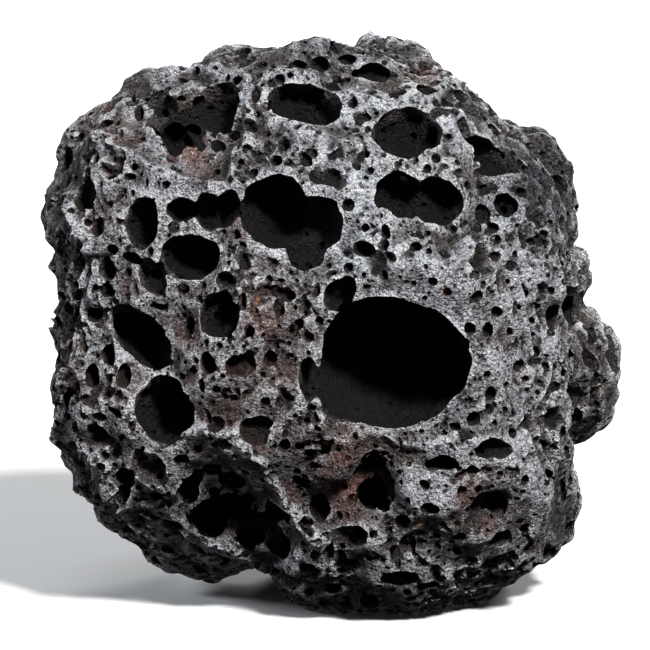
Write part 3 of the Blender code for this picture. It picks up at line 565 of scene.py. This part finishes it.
def placePores(rock, tree, mouths):
    # large ones first, each kept clear of the others and of the mouths already there
    dice = random.Random(pores["seed"])
    rock.data.calc_loop_triangles()
    points = readPoints(rock)
    corners = np.empty(len(rock.data.loop_triangles) * 3, np.int32)
    rock.data.loop_triangles.foreach_get("vertices", corners)
    corners = corners.reshape(-1, 3)
    a, b, c = points[corners[:, 0]], points[corners[:, 1]], points[corners[:, 2]]
    cross = np.cross(b - a, c - a)
    total = np.cumsum(np.linalg.norm(cross, axis=1))
    held = holdBack((a + b + c) / 3)
    facing = onDrawing((a + b + c) / 3)[1]
    mouthPlaces = np.array([place for place, half in mouths])
    mouthSizes = np.array([half for place, half in mouths])
    cell = 2.4 * mm
    grid, placed = {}, []
    for number, (low, high, count, gap, sides, rings) in enumerate(pores["sizes"]):
        made, attempts = 0, 0
        while made < count and attempts < count * 14:
            attempts += 1
            face = int(np.searchsorted(total, dice.random() * total[-1]))
            u, v = dice.random(), dice.random()
            if u + v > 1:
                u, v = 1 - u, 1 - v
            spot = Vector(a[face] + (b[face] - a[face]) * u + (c[face] - a[face]) * v)
            radius = low + (high - low) * dice.random() ** 1.6
            share = pores["hiddenShare"] + (1 - pores["hiddenShare"]) * facing[face]
            if spot.z < 0.8 * mm or dice.random() > share * (1 - held[face]):
                continue
            deep = tree.find_nearest(spot)[3] / mm
            if deep > 4.5 and dice.random() > pores["inside"]:
                continue
            if deep < 2.5 and (np.linalg.norm(mouthPlaces - np.array(spot), axis=1) / mm < mouthSizes + radius + gap).any():
                continue
            home = tuple(int(math.floor(value / cell)) for value in spot)
            near = (grid.get((home[0] + i, home[1] + j, home[2] + k), ())
                    for i in (-2, -1, 0, 1, 2) for j in (-2, -1, 0, 1, 2) for k in (-2, -1, 0, 1, 2))
            if any((other - spot).length < (radius * 1.1 + size * 1.1 + gap) * mm for group in near for other, size in group):
                continue
            grid.setdefault(home, []).append((spot, radius))
            made += 1
            normal = Vector(cross[face]).normalized()
            placed.append((number, spot - normal * 0.4 * radius * mm, normal, radius, dice.uniform(0, 6.28), dice.uniform(0.82, 1.12)))
        print("pores of size", number, made)
    return placed


def cutPores(rock, tree, mouths):
    patterns = []
    for low, high, count, gap, sides, rings in pores["sizes"]:
        bpy.ops.mesh.primitive_uv_sphere_add(segments=sides, ring_count=rings, radius=1.0)
        pattern = bpy.context.object
        patterns.append((readPoints(pattern), [tuple(face.vertices) for face in pattern.data.polygons]))
        bpy.data.objects.remove(pattern, do_unlink=True)
    allPoints, allFaces, start = [], [], 0
    for number, spot, normal, radius, spin, stretch in placePores(rock, tree, mouths):
        shape, faces = patterns[number]
        turn = np.array((normal.to_track_quat("Z", "Y").to_matrix() @ Matrix.Rotation(spin, 3, "Z")))
        allPoints.append((shape * (radius * stretch, radius / stretch ** 0.5, radius * 1.2) * mm) @ turn.T + np.array(spot))
        allFaces += [tuple(index + start for index in face) for face in faces]
        start += len(shape)
    mesh = bpy.data.meshes.new("drills")
    mesh.from_pydata(np.concatenate(allPoints).tolist(), [], allFaces)
    drills = bpy.data.objects.new("drills", mesh)
    bpy.context.scene.collection.objects.link(drills)
    cutAway(rock, drills)
    print("pores cut", len(rock.data.polygons))


def flattenBase(rock):
    bpy.ops.mesh.primitive_cube_add(size=1.0, location=(0.0, 0.0, -0.05))
    cutter = bpy.context.object
    cutter.scale = (0.3, 0.3, 0.1)
    pick(cutter)
    bpy.ops.object.transform_apply(location=True, rotation=True, scale=True)
    cutAway(rock, cutter)


def thinOut(rock):
    # the far side first, by half, then the whole stone down to its limit
    applyModifier(rock, "TRIANGULATE")
    points = readPoints(rock)
    corners = np.empty(len(rock.data.polygons) * 3, np.int32)
    rock.data.polygons.foreach_get("vertices", corners)
    far = points[corners.reshape(-1, 3), 1].mean(1) > 0.010
    for kind in (rock.data.vertices, rock.data.edges):
        kind.foreach_set("select", np.zeros(len(kind), bool))
    rock.data.polygons.foreach_set("select", far)
    pick(rock)
    bpy.ops.object.mode_set(mode="EDIT")
    bpy.ops.mesh.select_mode(type="FACE")
    bpy.ops.mesh.decimate(ratio=0.32)
    bpy.ops.object.mode_set(mode="OBJECT")
    applyModifier(rock, "DECIMATE", ratio=min(1.0, facesKept / countTriangles(rock)), use_collapse_triangulate=True)
    made = countTriangles(rock)
    print("thinned to", made)
    assert made < 200000, "the stone has %d triangles" % made


def dropCrumbs(rock):
    # bits that the cuts left loose go, and the body that holds the rightmost point stays
    before = len(rock.data.polygons)
    for kind in (rock.data.vertices, rock.data.edges, rock.data.polygons):
        kind.foreach_set("select", np.zeros(len(kind), bool))
    rock.data.vertices[int(np.argmax(readPoints(rock)[:, 0]))].select = True
    pick(rock)
    bpy.ops.object.mode_set(mode="EDIT")
    bpy.ops.mesh.select_mode(type="VERT")
    bpy.ops.mesh.select_linked()
    bpy.ops.mesh.select_all(action="INVERT")
    bpy.ops.mesh.delete(type="VERT")
    bpy.ops.object.mode_set(mode="OBJECT")
    print("crumbs dropped", before - len(rock.data.polygons))
    assert len(rock.data.polygons) > 0.9 * before


def measureSurface(rock, tree):
    # height against the smooth block, and how far each point stands out from its neighbours
    points = readPoints(rock)
    level = np.empty(len(points))
    for index, point in enumerate(points):
        near, normal = tree.find_nearest(Vector(point))[:2]
        level[index] = (Vector(point) - near).dot(normal) / mm
    edges = np.empty(len(rock.data.edges) * 2, np.int32)
    rock.data.edges.foreach_get("vertices", edges)
    edges = edges.reshape(-1, 2)
    normals = np.empty(len(points) * 3, np.float32)
    rock.data.vertex_normals.foreach_get("vector", normals)
    normals = normals.reshape(-1, 3)
    links = np.bincount(edges.ravel(), minlength=len(points))

    def spread(values):
        out = np.zeros_like(values)
        for column in range(values.shape[1]):
            out[:, column] = (np.bincount(edges[:, 0], values[edges[:, 1], column], len(points))
                              + np.bincount(edges[:, 1], values[edges[:, 0], column], len(points)))
        return out / np.maximum(links, 1)[:, None]

    soft = points
    for step in range(3):
        soft = 0.4 * soft + 0.6 * spread(soft)
    near = ((points - soft) * normals).sum(1) / mm
    for step in range(22):
        soft = 0.4 * soft + 0.6 * spread(soft)
    wide = ((points - soft) * normals).sum(1) / mm
    for name, values in (("level", level), ("rim", near), ("ridge", wide)):
        layer = rock.data.attributes.new(name, "FLOAT", "POINT")
        layer.data.foreach_set("value", values.astype(np.float32))
    print("level %.2f to %.2f, rim %.3f, ridge %.3f" % (level.min(), level.max(), near.std(), wide.std()))


def makeRock():
    rock = makeBlock()
    raiseKnobs(rock)
    tree = treeOf(rock)
    pressCells(rock)
    mouths = cutVesicles(rock, tree)
    cutPores(rock, tree, mouths)
    flattenBase(rock)
    thinOut(rock)
    dropCrumbs(rock)
    measureSurface(rock, tree)
    pick(rock)
    bpy.ops.object.shade_smooth_by_angle(angle=math.radians(48))
    return rock


# Looks

finish = {
    # worn crests, brighter still as painted highlight
    "crest": (0.60, 0.63, 0.69),
    # dark base, deepest in concave parts as painted shade
    "flat": (0.024, 0.022, 0.023),
    "middle": (0.066, 0.060, 0.061),
    "warm": (0.105, 0.078, 0.070),
    # near-black of the hollows, partly their dark glassy walls and partly painted shade
    "pitShade": (0.0044, 0.0042, 0.0048),
    # cool dark of the painted shade
    "coolShade": (0.034, 0.039, 0.051),
    # dark mineral grains, and painted shade in crevices and dips
    "darkGrainAndShade": (0.011, 0.0095, 0.0092),
    "rustyGrainAndShade": (0.034, 0.0165, 0.0125),
    # painted highlight on the pore rims
    "rimHighlight": (0.66, 0.66, 0.67),
    "oxide": (0.180, 0.084, 0.067),
    "ember": (0.55, 0.29, 0.17),
    # pale mineral grains with a painted glint
    "paleGrainGlint": (0.85, 0.87, 0.90),
    "grainSize": 0.15,
    "granuleSize": 0.50,
    # how far below the smooth block the painted shade of the hollows begins and is full
    "hollowStart": 1.2,
    "hollowDepth": 2.9,
    "roughness": 0.62,
}

# where the rust shows: middle x and z on the drawing, half sizes, strength
rustSpots = [
    (-20.5, 28.5, 4.0, 5.5, 0.9), (-12.5, 16.0, 2.4, 4.0, 0.5), (-9.0, -3.0, 6.5, 8.5, 0.65),
    (5.0, -21.5, 6.0, 7.0, 0.85), (23.0, -27.5, 5.0, 4.5, 0.6), (-38.0, -10.0, 2.5, 12.0, 0.5),
    (15.0, 38.5, 2.0, 2.2, 0.8), (-30.0, 2.0, 3.0, 4.0, 0.3), (17.8, 5.2, 1.4, 1.2, 0.6),
    (-22.0, -8.0, 16.0, 15.0, 0.28), (0.0, -20.0, 15.0, 12.0, 0.36), (-27.0, 24.0, 14.0, 14.0, 0.22), (28.0, -3.0, 5.0, 12.0, 0.22),
]

# where the crust is paler and cooler, brightened further as painted light: middle x and z, half sizes, strength
paleAndLitSpots = [
    (29.0, 4.0, 5.5, 20.0, 1.0), (-24.0, 22.5, 8.5, 5.0, 0.8), (6.0, 18.0, 5.0, 14.0, 0.75), (19.0, 4.0, 9.0, 9.0, 0.55),
    (14.5, -23.5, 4.0, 4.0, 0.8), (18.0, -13.5, 9.0, 3.0, 0.7), (31.5, -22.0, 4.5, 6.0, 0.5), (-8.0, 3.0, 5.0, 9.0, 0.3),
    (2.0, 40.0, 12.0, 3.0, 0.4), (26.0, 17.0, 8.0, 3.5, 0.6), (-34.0, -4.0, 2.6, 14.0, 0.6),
]

# where painted shade darkens the crust set back from the face: middle x and z, half sizes, strength
paintedShadeSpots = [
    (33.0, 22.5, 5.8, 10.0, 0.9), (27.0, 32.5, 6.5, 3.0, 0.7), (0.0, 40.5, 16.0, 2.6, 0.6), (-29.0, 36.5, 5.0, 2.6, 0.6),
    (41.0, -6.0, 5.0, 11.0, 0.5), (-38.5, -8.0, 2.6, 16.0, 0.4), (-32.0, -26.0, 5.0, 6.0, 0.4), (0.0, -41.0, 22.0, 4.0, 0.5),
    (36.5, -32.0, 4.0, 7.0, 0.5), (4.5, -21.0, 7.0, 7.0, 0.8), (24.0, -31.0, 12.0, 5.5, 0.4), (-13.4, -27.0, 8.5, 6.5, 0.4), (24.0, -27.0, 5.0, 4.0, 0.4),
    (-40.5, 18.0, 2.6, 9.0, 0.5), (-8.0, -3.0, 6.0, 7.0, 0.3), (-20.0, 30.0, 6.0, 6.0, 0.4), (-12.0, 16.0, 2.6, 4.0, 0.3),
]

# single warm grains: x, z, half size
embers = [
    (-10.1, 3.6, 0.55), (0.2, -17.6, 0.5), (1.4, -17.9, 0.5), (18.3, 5.2, 0.35), (0.1, 3.7, 0.3), (-9.9, -6.8, 0.3), (8.2, -21.9, 0.35),
    (12.0, -15.7, 0.3), (14.2, -30.0, 0.3), (15.0, 37.6, 0.35), (40.6, -9.5, 0.4), (41.6, -9.5, 0.35), (-22.3, 24.3, 0.35),
]


def newSocket(group, name, kind, side, default=None):
    socket = group.interface.new_socket(name=name, in_out=side, socket_type=kind)
    if default is not None:
        socket.default_value = default
    return socket


def addNode(tree, kind, **settings):
    node = tree.nodes.new(kind)
    for name, value in settings.items():
        setattr(node, name, value)
    return node


def addMath(tree, operation, first, second=None, clamp=False):
    node = addNode(tree, "ShaderNodeMath", operation=operation, use_clamp=clamp)
    for socket, value in zip(node.inputs, (first, second)):
        if value is None:
            continue
        if isinstance(value, (int, float)):
            socket.default_value = value
        else:
            tree.links.new(value, socket)
    return node.outputs[0]


def addRange(tree, value, low, high, toLow=0.0, toHigh=1.0, smooth=True):
    node = addNode(tree, "ShaderNodeMapRange", interpolation_type="SMOOTHSTEP" if smooth else "LINEAR")
    tree.links.new(value, node.inputs["Value"])
    for name, number in (("From Min", low), ("From Max", high), ("To Min", toLow), ("To Max", toHigh)):
        node.inputs[name].default_value = number
    return node.outputs["Result"]


def addMix(tree, share, first, second, blend="MIX"):
    node = addNode(tree, "ShaderNodeMix", data_type="RGBA", blend_type=blend)
    for socket, value in ((node.inputs["Factor"], share), (node.inputs["A"], None), (node.inputs["B"], None)):
        if value is None:
            continue
        if isinstance(value, (int, float)):
            socket.default_value = value
        else:
            tree.links.new(value, socket)
    for socket, value in ((node.inputs[6], first), (node.inputs[7], second)):
        if isinstance(value, tuple):
            socket.default_value = (*value, 1.0)
        else:
            tree.links.new(value, socket)
    return node.outputs[2]


def makeGrainGroup():
    # a crust of small granules with crevices between them, and light and dark mineral grains on it
    group = bpy.data.node_groups.new("stoneGrain", "ShaderNodeTree")
    newSocket(group, "Place", "NodeSocketVector", "INPUT")
    newSocket(group, "Grain Size", "NodeSocketFloat", "INPUT", 0.35)
    newSocket(group, "Granule Size", "NodeSocketFloat", "INPUT", 0.9)
    for name in ("Light", "Dark", "Height", "Crevice"):
        newSocket(group, name, "NodeSocketFloat", "OUTPUT")
    start, end = addNode(group, "NodeGroupInput"), addNode(group, "NodeGroupOutput")
    scale = addMath(group, "DIVIDE", 1000.0, start.outputs["Grain Size"])
    cells = addNode(group, "ShaderNodeTexVoronoi", feature="F1")
    group.links.new(start.outputs["Place"], cells.inputs["Vector"])
    group.links.new(scale, cells.inputs["Scale"])
    colour = addNode(group, "ShaderNodeSeparateColor")
    group.links.new(cells.outputs["Color"], colour.inputs[0])
    group.links.new(addRange(group, colour.outputs[0], 0.80, 0.98), end.inputs["Light"])
    group.links.new(addRange(group, colour.outputs[1], 0.62, 0.95), end.inputs["Dark"])
    coarse = addMath(group, "DIVIDE", 1000.0, start.outputs["Granule Size"])
    total, crevice = addMath(group, "MULTIPLY", colour.outputs[2], 0.06), None
    for times, rise in ((1.0, 0.50), (2.2, 0.24)):
        granules = addNode(group, "ShaderNodeTexVoronoi", feature="F1")
        group.links.new(start.outputs["Place"], granules.inputs["Vector"])
        group.links.new(addMath(group, "MULTIPLY", coarse, times), granules.inputs["Scale"])
        away = granules.outputs["Distance"]
        total = addMath(group, "SUBTRACT", total, addMath(group, "MULTIPLY", addMath(group, "MULTIPLY", away, away), rise))
        gap = addRange(group, away, 0.48, 0.78)
        crevice = gap if crevice is None else addMath(group, "MAXIMUM", crevice, addMath(group, "MULTIPLY", gap, 0.7))
    group.links.new(total, end.inputs["Height"])
    group.links.new(crevice, end.inputs["Crevice"])
    return group


def makePitGroup():
    # round pits too small to model, as a mask of their mouths and a depth
    group = bpy.data.node_groups.new("tinyPits", "ShaderNodeTree")
    newSocket(group, "Place", "NodeSocketVector", "INPUT")
    newSocket(group, "Spacing", "NodeSocketFloat", "INPUT", 1.1)
    newSocket(group, "Mouth", "NodeSocketFloat", "INPUT", 0.34)
    for name in ("Mask", "Depth"):
        newSocket(group, name, "NodeSocketFloat", "OUTPUT")
    start, end = addNode(group, "NodeGroupInput"), addNode(group, "NodeGroupOutput")
    cells = addNode(group, "ShaderNodeTexVoronoi", feature="F1")
    group.links.new(start.outputs["Place"], cells.inputs["Vector"])
    group.links.new(addMath(group, "DIVIDE", 1000.0, start.outputs["Spacing"]), cells.inputs["Scale"])
    colour = addNode(group, "ShaderNodeSeparateColor")
    group.links.new(cells.outputs["Color"], colour.inputs[0])
    mouth = addMath(group, "MULTIPLY", start.outputs["Mouth"], addRange(group, colour.outputs[0], 0.15, 1.0, 0.0, 1.0, False))
    share = addMath(group, "DIVIDE", cells.outputs["Distance"], addMath(group, "MAXIMUM", mouth, 0.02))
    group.links.new(addRange(group, share, 0.75, 1.1, 1.0, 0.0), end.inputs["Mask"])
    group.links.new(addRange(group, share, 0.0, 1.15, 1.0, 0.0), end.inputs["Depth"])
    return group


def readAttribute(tree, name):
    return addNode(tree, "ShaderNodeAttribute", attribute_name=name).outputs["Fac"]


def makeBasalt(grain, pits):
    material = bpy.data.materials.new("vesicularBasalt")
    material.use_nodes = True
    tree = material.node_tree
    shader = tree.nodes["Principled BSDF"]
    place = addNode(tree, "ShaderNodeTexCoord").outputs["Object"]
    level, rim, ridge, rust, paleAndLit, shade, ember = (
        readAttribute(tree, name) for name in ("level", "rim", "ridge", "rust", "paleAndLit", "shade", "ember"))

    warp = addNode(tree, "ShaderNodeTexNoise")
    warp.inputs["Scale"].default_value = 900.0
    warp.inputs["Detail"].default_value = 2.0
    tree.links.new(place, warp.inputs["Vector"])
    bent = addNode(tree, "ShaderNodeVectorMath", operation="MULTIPLY_ADD")
    tree.links.new(warp.outputs["Color"], bent.inputs[0])
    bent.inputs[1].default_value = (0.0007, 0.0007, 0.0007)
    tree.links.new(place, bent.inputs[2])

    grains = addNode(tree, "ShaderNodeGroup", node_tree=grain)
    grains.inputs["Grain Size"].default_value = finish["grainSize"]
    grains.inputs["Granule Size"].default_value = finish["granuleSize"]
    tree.links.new(bent.outputs["Vector"], grains.inputs["Place"])
    pores = []
    for spacing, mouth in ((1.25, 0.42), (0.62, 0.46)):
        node = addNode(tree, "ShaderNodeGroup", node_tree=pits)
        node.inputs["Spacing"].default_value = spacing
        node.inputs["Mouth"].default_value = mouth
        tree.links.new(bent.outputs["Vector"], node.inputs["Place"])
        pores.append(node)

    cloud = addNode(tree, "ShaderNodeTexNoise")
    cloud.inputs["Scale"].default_value = 170.0
    cloud.inputs["Detail"].default_value = 4.0
    tree.links.new(place, cloud.inputs["Vector"])
    patch = addRange(tree, cloud.outputs["Fac"], 0.36, 0.62)

    # crests are worn light and carry a painted highlight, and the slopes below them are darkened as painted shade
    blotch = addNode(tree, "ShaderNodeTexNoise")
    blotch.inputs["Scale"].default_value = 95.0
    blotch.inputs["Detail"].default_value = 3.0
    tree.links.new(place, blotch.inputs["Vector"])
    # painted light from the pale spots and ridges lifts the crests
    lifted = addMath(tree, "ADD", ridge, addMath(tree, "MULTIPLY", paleAndLit, 0.82))
    # painted shade from the shade spots holds the crests back
    lifted = addMath(tree, "SUBTRACT", lifted, addMath(tree, "MULTIPLY", shade, 0.75))
    high = addMath(tree, "MULTIPLY", addRange(tree, lifted, 0.06, 1.15), addRange(tree, level, -2.2, 0.4, 0.35, 1.0))
    high = addMath(tree, "MULTIPLY", high, addRange(tree, cloud.outputs["Fac"], 0.34, 0.62, 0.40, 1.0))
    middle = addMix(tree, addRange(tree, blotch.outputs["Fac"], 0.42, 0.62), finish["middle"], finish["warm"])
    colour = addMix(tree, addRange(tree, ridge, -0.45, 0.15), finish["flat"], middle)
    colour = addMix(tree, high, colour, finish["crest"])
    # painted highlight along the pore rims, weaker in the painted shade
    rimHighlight = addMath(tree, "MULTIPLY", addRange(tree, rim, 0.14, 0.42), addRange(tree, shade, 0.0, 1.0, 0.75, 0.2, False))
    colour = addMix(tree, rimHighlight, colour, finish["rimHighlight"])
    rusty = addMath(tree, "MULTIPLY", addMath(tree, "MULTIPLY", rust, patch), 1.3, True)
    # painted shade: the shade spots turn a cool dark
    colour = addMix(tree, addMath(tree, "MULTIPLY", shade, 0.8), colour, finish["coolShade"])
    colour = addMix(tree, rusty, colour, finish["oxide"])
    # one near-black for the dark mineral grains and for painted shade, rust-brown where rust is
    darkGrainAndShade = addMix(tree, addMath(tree, "MULTIPLY", rust, 1.2, True), finish["darkGrainAndShade"], finish["rustyGrainAndShade"])
    colour = addMix(tree, addMath(tree, "MULTIPLY", grains.outputs["Dark"], 0.5), colour, darkGrainAndShade)
    # painted shade in the crevices between the granules
    creviceShade = addMath(tree, "MULTIPLY", grains.outputs["Crevice"], addRange(tree, high, 0.0, 1.0, 0.85, 0.5, False))
    colour = addMix(tree, creviceShade, colour, darkGrainAndShade)
    # pale mineral grains with a painted glint, strongest on the crests
    light = addMath(tree, "MULTIPLY", grains.outputs["Light"], addMath(tree, "ADD", addMath(tree, "MULTIPLY", high, 0.75), 0.12))
    colour = addMix(tree, light, colour, finish["paleGrainGlint"])
    # painted shade in the mouths of pits too small to model
    some = addRange(tree, cloud.outputs["Fac"], 0.40, 0.60, 1.0, 0.5)
    mouths = addMath(tree, "MAXIMUM", pores[0].outputs["Mask"], pores[1].outputs["Mask"])
    colour = addMix(tree, addMath(tree, "MULTIPLY", mouths, some), colour, finish["pitShade"])
    # painted shade in the concave dips round the pores
    dipShade = addRange(tree, ridge, -0.75, -0.25, 1.0, 0.0)
    colour = addMix(tree, addMath(tree, "MULTIPLY", dipShade, 0.94), colour, darkGrainAndShade)
    # painted shade deep in the hollows, over their dark glassy walls
    sunkenShade = addRange(tree, level, -finish["hollowDepth"], -finish["hollowStart"], 1.0, 0.0)
    colour = addMix(tree, addMath(tree, "MULTIPLY", sunkenShade, 0.96), colour, finish["pitShade"])
    colour = addMix(tree, addMath(tree, "MULTIPLY", ember, addRange(tree, grains.outputs["Crevice"], 0.0, 1.0, 1.0, 0.15)), colour, finish["ember"])
    tree.links.new(colour, shader.inputs["Base Color"])

    depth = addMath(tree, "MULTIPLY", pores[0].outputs["Depth"], 0.42)
    depth = addMath(tree, "ADD", depth, addMath(tree, "MULTIPLY", pores[1].outputs["Depth"], 0.26))
    crust = addNode(tree, "ShaderNodeTexNoise")
    crust.inputs["Scale"].default_value = 1150.0
    crust.inputs["Detail"].default_value = 4.0
    crust.inputs["Roughness"].default_value = 0.66
    tree.links.new(place, crust.inputs["Vector"])
    height = addMath(tree, "ADD", grains.outputs["Height"], addMath(tree, "MULTIPLY", crust.outputs["Fac"], 1.1))
    height = addMath(tree, "SUBTRACT", height, addMath(tree, "MULTIPLY", depth, some))
    bump = addNode(tree, "ShaderNodeBump")
    bump.inputs["Strength"].default_value = 1.0
    bump.inputs["Distance"].default_value = 0.001
    tree.links.new(height, bump.inputs["Height"])
    tree.links.new(bump.outputs["Normal"], shader.inputs["Normal"])
    # the light grains are bare crystal faces that glint
    rough = addRange(tree, light, 0.0, 1.0, finish["roughness"], 0.30, False)
    tree.links.new(rough, shader.inputs["Roughness"])
    tree.links.new(addMath(tree, "MULTIPLY", light, 0.5), shader.inputs["Metallic"])
    shader.inputs["Specular IOR Level"].default_value = 0.16
    return material


def paintRock(rock):
    # rust patches and warm grains, and painted light and painted shade in the listed spots, kept to the face they show
    # on
    points = readPoints(rock)
    onPlane, facing = onDrawing(points)
    rust = np.zeros(len(points))
    for x, z, halfWide, halfHigh, strength in rustSpots:
        away = ((onPlane[:, 0] - x) / halfWide) ** 2 + ((onPlane[:, 1] - z) / halfHigh) ** 2
        rust = np.maximum(rust, strength * np.exp(-away))
    # a grain shows only where the surface looks forwards, or it would run back as a stripe
    toViewer = -(pointNormals(rock) @ np.array(toWorld().inverted().to_3x3()).T)[:, 1]
    forwards = np.clip(toViewer * 3 - 0.8, 0, 1) * facing ** 2
    ember = np.zeros(len(points))
    for x, z, half in embers:
        away = np.hypot(onPlane[:, 0] - x, onPlane[:, 1] - z) / half
        ember = np.maximum(ember, np.clip(1.15 - away, 0, 1))
    paleAndLit, shade = np.zeros(len(points)), np.zeros(len(points))
    for spots, values in ((paleAndLitSpots, paleAndLit), (paintedShadeSpots, shade)):
        for x, z, halfWide, halfHigh, strength in spots:
            away = ((onPlane[:, 0] - x) / halfWide) ** 2 + ((onPlane[:, 1] - z) / halfHigh) ** 2
            np.maximum(values, strength * np.exp(-away), out=values)
    wobble = np.array([noise.noise_vector(Vector((x / 4.0, z / 4.0, 1.0))).xy for x, z in onPlane])
    # painted highlight along the listed ridges
    paleAndLit = np.maximum(paleAndLit, nearRidges(onPlane + wobble * 1.3)[0] * facing ** 3)
    for name, values in (("rust", rust * facing), ("paleAndLit", paleAndLit * facing), ("shade", shade * facing), ("ember", ember * forwards)):
        layer = rock.data.attributes.new(name, "FLOAT", "POINT")
        layer.data.foreach_set("value", values.astype(np.float32))


studio = {
    # where the light comes from, strength, softness in degrees, colour
    "key": ((0.40, -0.76, 0.84), 6.9, 9.0, (1.0, 0.995, 0.985)),
    # place, size, power, colour
    "side": ((-0.80, -0.20, 0.50), 0.25, 4.6, (0.90, 0.95, 1.0)),
    "top": ((-0.10, 0.25, 0.90), 0.30, 1.0, (0.95, 0.97, 1.0)),
    "back": ((0.30, 0.94, 0.26), 0.40, 11.0, (1.0, 1.0, 1.0)),
    "airLight": 0.11,
    "airSeen": 0.90,
    "floor": (0.72, 0.72, 0.72),
}


def addFloor():
    bpy.ops.mesh.primitive_plane_add(size=8.0, location=(0.0, 0.0, 0.0))
    floor = bpy.context.object
    floor.name = "floor"
    material = bpy.data.materials.new("palePaper")
    material.use_nodes = True
    shader = material.node_tree.nodes["Principled BSDF"]
    shader.inputs["Base Color"].default_value = (*studio["floor"], 1.0)
    shader.inputs["Roughness"].default_value = 1.0
    shader.inputs["Specular IOR Level"].default_value = 0.0
    floor.data.materials.append(material)
    floor.visible_diffuse = False  # the stone is lit as if held clear of a bright table
    floor.visible_glossy = False


def aim(holder, place):
    holder.location = place
    holder.rotation_euler = (Vector((0.0, 0.0, 0.042)) - Vector(place)).to_track_quat("-Z", "Y").to_euler()
    bpy.context.scene.collection.objects.link(holder)


def addLights():
    place, power, softness, colour = studio["key"]
    sun = bpy.data.lights.new("key", "SUN")
    sun.energy, sun.angle, sun.color = power, math.radians(softness), colour
    aim(bpy.data.objects.new("key", sun), place)
    for name in ("side", "top", "back"):
        place, size, power, colour = studio[name]
        lamp = bpy.data.lights.new(name, "AREA")
        lamp.shape, lamp.size, lamp.energy, lamp.color = "DISK", size, power, colour
        aim(bpy.data.objects.new(name, lamp), place)
    world = bpy.data.worlds.new("studio")
    world.use_nodes = True
    back = world.node_tree.nodes["Background"]
    back.inputs["Color"].default_value = (0.97, 0.98, 1.0, 1.0)
    seen = addNode(world.node_tree, "ShaderNodeLightPath").outputs["Is Camera Ray"]
    strength = addRange(world.node_tree, seen, 0.0, 1.0, studio["airLight"], studio["airSeen"], False)
    world.node_tree.links.new(strength, back.inputs["Strength"])
    bpy.context.scene.world = world


def addCamera():
    sensor = 36.0
    lens = sensor * drawing["eyeDistance"] / (650 * drawing["pixel"])
    data = bpy.data.cameras.new("view")
    data.sensor_width = sensor
    data.lens = lens
    data.clip_end = 20.0
    camera = bpy.data.objects.new("view", data)
    eye = toWorld() @ Vector((0.0, -drawing["eyeDistance"] * mm, 0.0))
    look = toWorld() @ Vector((0.0, 0.0, 0.0)) - eye
    camera.location = eye
    camera.rotation_euler = look.to_track_quat("-Z", "Y").to_euler()
    bpy.context.scene.collection.objects.link(camera)
    bpy.context.scene.camera = camera


rock = makeRock()
paintRock(rock)
rock.data.materials.clear()
rock.data.materials.append(makeBasalt(makeGrainGroup(), makePitGroup()))
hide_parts("lava_rock")
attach(rock, "root")
addFloor()
addLights()
addCamera()
bpy.context.scene.view_settings.view_transform = "Standard"
